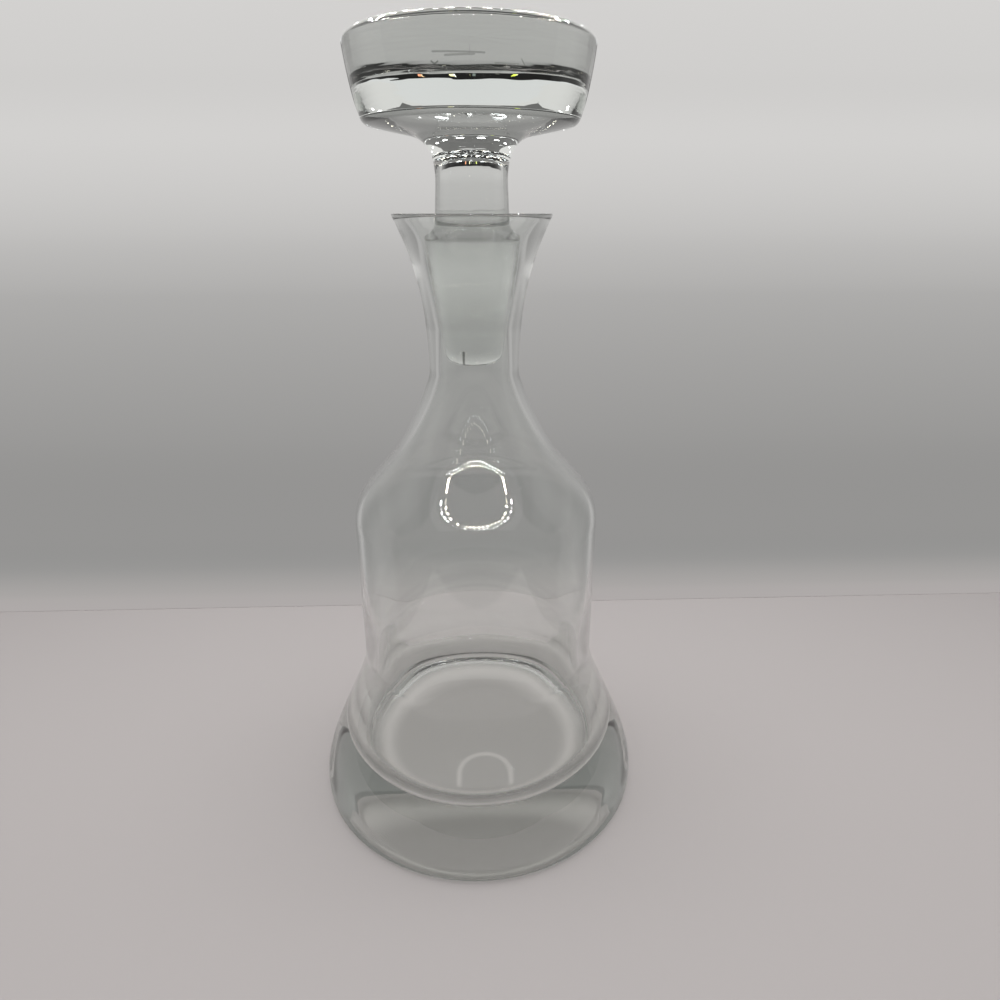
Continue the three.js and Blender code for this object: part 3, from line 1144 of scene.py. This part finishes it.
class OBJECT_OT_glass_stopper(bpy.types.Operator):
    """Turn the stopper from its outline and give it its glass"""

    bl_idname = "object.glass_stopper"
    bl_label = "Stopper"

    def execute(self, context):
        decanter = context.scene.decanter_sizes
        sizes = context.scene.stopper_sizes
        look = context.scene.glass_look
        outline = stopper_outline(decanter, sizes)
        plug_top = decanter.rim_height - sizes.plug_depth
        plug_tip = plug_top - sizes.plug_length

        def plug_mask(tree, radius, height):
            low = between(tree, height, plug_tip + 3 * MILLIMETRE, plug_tip + 6 * MILLIMETRE)
            high = between(tree, height, plug_top - 0.5 * MILLIMETRE, plug_top - 1.5 * MILLIMETRE)
            return sums(tree, "MULTIPLY", low, high)

        def strokes(tree, position):
            mask = 0.0
            for start, end, width, depth in STOPPER_STROKES:
                values = {"Start": (*start, 0), "End": (*end, 0), "Width": width}
                stroke = use_group(tree, short_stroke(), {"Position": position, **values})["Mask"]
                mask = sums(tree, "MAXIMUM", mask, sums(tree, "MULTIPLY", stroke, depth))
            return mask

        density, middle = look.stopper_density, sizes.head_radius
        material = glass_finish(
            "stopper_glass", look, density, plug_mask, middle, strokes, STOPPER_RIPPLE
        )
        piece = turned_piece("stopper_body", outline, material, look, STOPPER_SEED)
        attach(piece, "stopper")
        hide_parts("stopper")
        return {"FINISHED"}


def make_ground(look):
    """The paper, and the backdrop that rises behind it."""
    wide = 1.2
    just_below = -0.2 * MILLIMETRE
    corners = [(-wide, -wide), (wide, -wide), (wide, wide), (-wide, wide)]
    paper = paper_finish("floor_paper", look)
    sheet_object("floor", [(x, y, just_below) for x, y in corners], paper)
    swept_backdrop(look, wide, wide, shown_finish("backdrop_tone", BACKDROP_TONES))


def make_tent(look):
    """The light tent that the glass sees: pale sides and ceiling, and a dark front."""
    half, top, opening = look.tent_half_width, look.tent_height, look.opening_back
    front, back = -look.tent_front, look.wall_foot
    side_tone = shown_finish("side_tone", SIDE_TONES, 1)
    for name, x in (("side_card_left", -half), ("side_card_right", half)):
        places = [(x, -opening, 0), (x, back, 0), (x, back, top), (x, -opening, top)]
        only_in_glass(sheet_object(name, places, side_tone))
    front_tone = shown_finish("front_tone", FRONT_TONES, mirrored_only=True)
    plan = [(-half, -opening), (-half, front), (half, front), (half, -opening)]
    for place, (start, end) in enumerate(zip(plan, plan[1:])):
        places = [(*start, 0), (*end, 0), (*end, top), (*start, top)]
        only_in_glass(sheet_object(f"front_card_{place + 1}", places, front_tone))
    level_card("ceiling_card", half, front, back, top, plain_tone("ceiling_tone", 1.0))
    dim_tone = plain_tone("dim_tone", look.fill_power)
    level_card("front_ceiling", half, front, -look.dim_front, top - 0.5 * MILLIMETRE, dim_tone)


def make_head_cards(look):
    """Cards high behind the stopper, for the bands that its head shows."""
    top, thin = look.tent_height, MILLIMETRE
    grey_tone = plain_tone("grey_tone", 0.22)
    level_card("grey_card", look.grey_half_width, 0.0, look.grey_back, top - thin, grey_tone)
    place = (look.white_half_width, look.white_back, look.white_low, look.white_high)
    upright_card("white_card", *place, plain_tone("white_tone", 1.05))
    place = (look.strip_half_width, look.strip_back, look.strip_low, look.strip_high)
    upright_card("dark_strip", *place, shown_finish("strip_tone", STRIP_TONES, 0))
    for place, (x, half_width, height, colour) in enumerate(SPARKS):
        spark = lamp_finish(f"spark_{place + 1}", colour, SPARK_STRENGTH)
        low = look.strip_low + SPARK_RISE
        corners = [
            (x + side * half_width, look.strip_back - thin, low + rise)
            for side, rise in ((-1, 0), (1, 0), (1, height), (-1, height))
        ]
        only_in_glass(sheet_object(f"spark_{place + 1}", corners, spark))


def make_small_lamps(look):
    """A dark plate with two rings of small lamps, and a few more lamps behind them."""
    top, below = look.tent_height, 3 * MILLIMETRE
    circle = circle_points(look.ring_radius + look.ring_step, 48)
    plate = [(x, y - look.ring_front, top - below / 2) for x, y in circle]
    only_in_glass(sheet_object("lamp_plate", plate, plain_tone("dark_tone", 0.06)))
    tree = lamp_row_tree()
    rings = (
        ("cool_lamps", 0.0, (0.92, 0.97, 1.0)),
        ("warm_lamps", look.ring_step, (1.0, 0.93, 0.78)),
    )
    for name, inset, colour in rings:
        ring = line_object(name, [Vector((0, 0))])
        values = {
            "Count": look.ring_lamps,
            "Row Radius": look.ring_radius - inset,
            "Lamp Radius": look.ring_lamp_radius,
            "Material": lamp_finish(name, colour, look.ring_strength),
        }
        run_tree(ring, tree, values)
        ring.data.transform(Matrix.Translation((0, -look.ring_front, top - below)))
        only_in_glass(ring)
    white = lamp_finish("white_lamp", (1, 1, 1), look.ring_strength)
    places = [(x, look.back_lamps_back, top - below) for x in BACK_LAMPS]
    only_in_glass(lamp_spots("back_lamps", places, look.back_lamp_radius, white))
    places = [(x, y, top - below) for y in NEAR_LAMP_ROWS for x in NEAR_LAMPS]
    only_in_glass(lamp_spots("near_lamps", places, look.near_lamp_radius, white))


class OBJECT_OT_decanter_stage(bpy.types.Operator):
    """Make the floor, the backdrop, the lamps and the camera"""

    bl_idname = "object.decanter_stage"
    bl_label = "Stage"

    def execute(self, context):
        look = context.scene.stage_look
        make_ground(look)
        make_tent(look)
        make_head_cards(look)
        make_small_lamps(look)
        lamp_place = (0, look.lamp_back, look.lamp_height)
        soft_lamp("lamp_above", lamp_place, look.lamp_width, look.lamp_power)
        surroundings(look)
        place_camera(look)
        context.scene.view_settings.view_transform = "Standard"
        return {"FINISHED"}


class VIEW3D_PT_glass_decanter(bpy.types.Panel):
    """Lists what makes the decanter"""

    bl_label = "Glass decanter"
    bl_idname = "VIEW3D_PT_glass_decanter"
    bl_space_type = "VIEW_3D"
    bl_region_type = "UI"
    bl_category = "Decanter"

    def draw(self, context):
        layout = self.layout
        for operator in OPERATORS:
            layout.operator(operator.bl_idname)
        for group in SETTINGS:
            settings = getattr(context.scene, group)
            box = layout.box()
            for name in settings.__annotations__:
                box.prop(settings, name)


OPERATORS = (OBJECT_OT_glass_decanter, OBJECT_OT_glass_stopper, OBJECT_OT_decanter_stage)
SETTINGS = {
    "decanter_sizes": DecanterSizes,
    "stopper_sizes": StopperSizes,
    "glass_look": GlassLook,
    "stage_look": StageLook,
}
CLASSES = (*SETTINGS.values(), *OPERATORS, VIEW3D_PT_glass_decanter)


def register():
    for item in CLASSES:
        bpy.utils.register_class(item)
    for name, group in SETTINGS.items():
        setattr(bpy.types.Scene, name, bpy.props.PointerProperty(type=group))


def unregister():
    for name in SETTINGS:
        delattr(bpy.types.Scene, name)
    for item in reversed(CLASSES):
        bpy.utils.unregister_class(item)


def main():
    register()
    bpy.ops.object.glass_decanter()
    bpy.ops.object.glass_stopper()
    bpy.ops.object.decanter_stage()


if __name__ == "__main__":
    main()
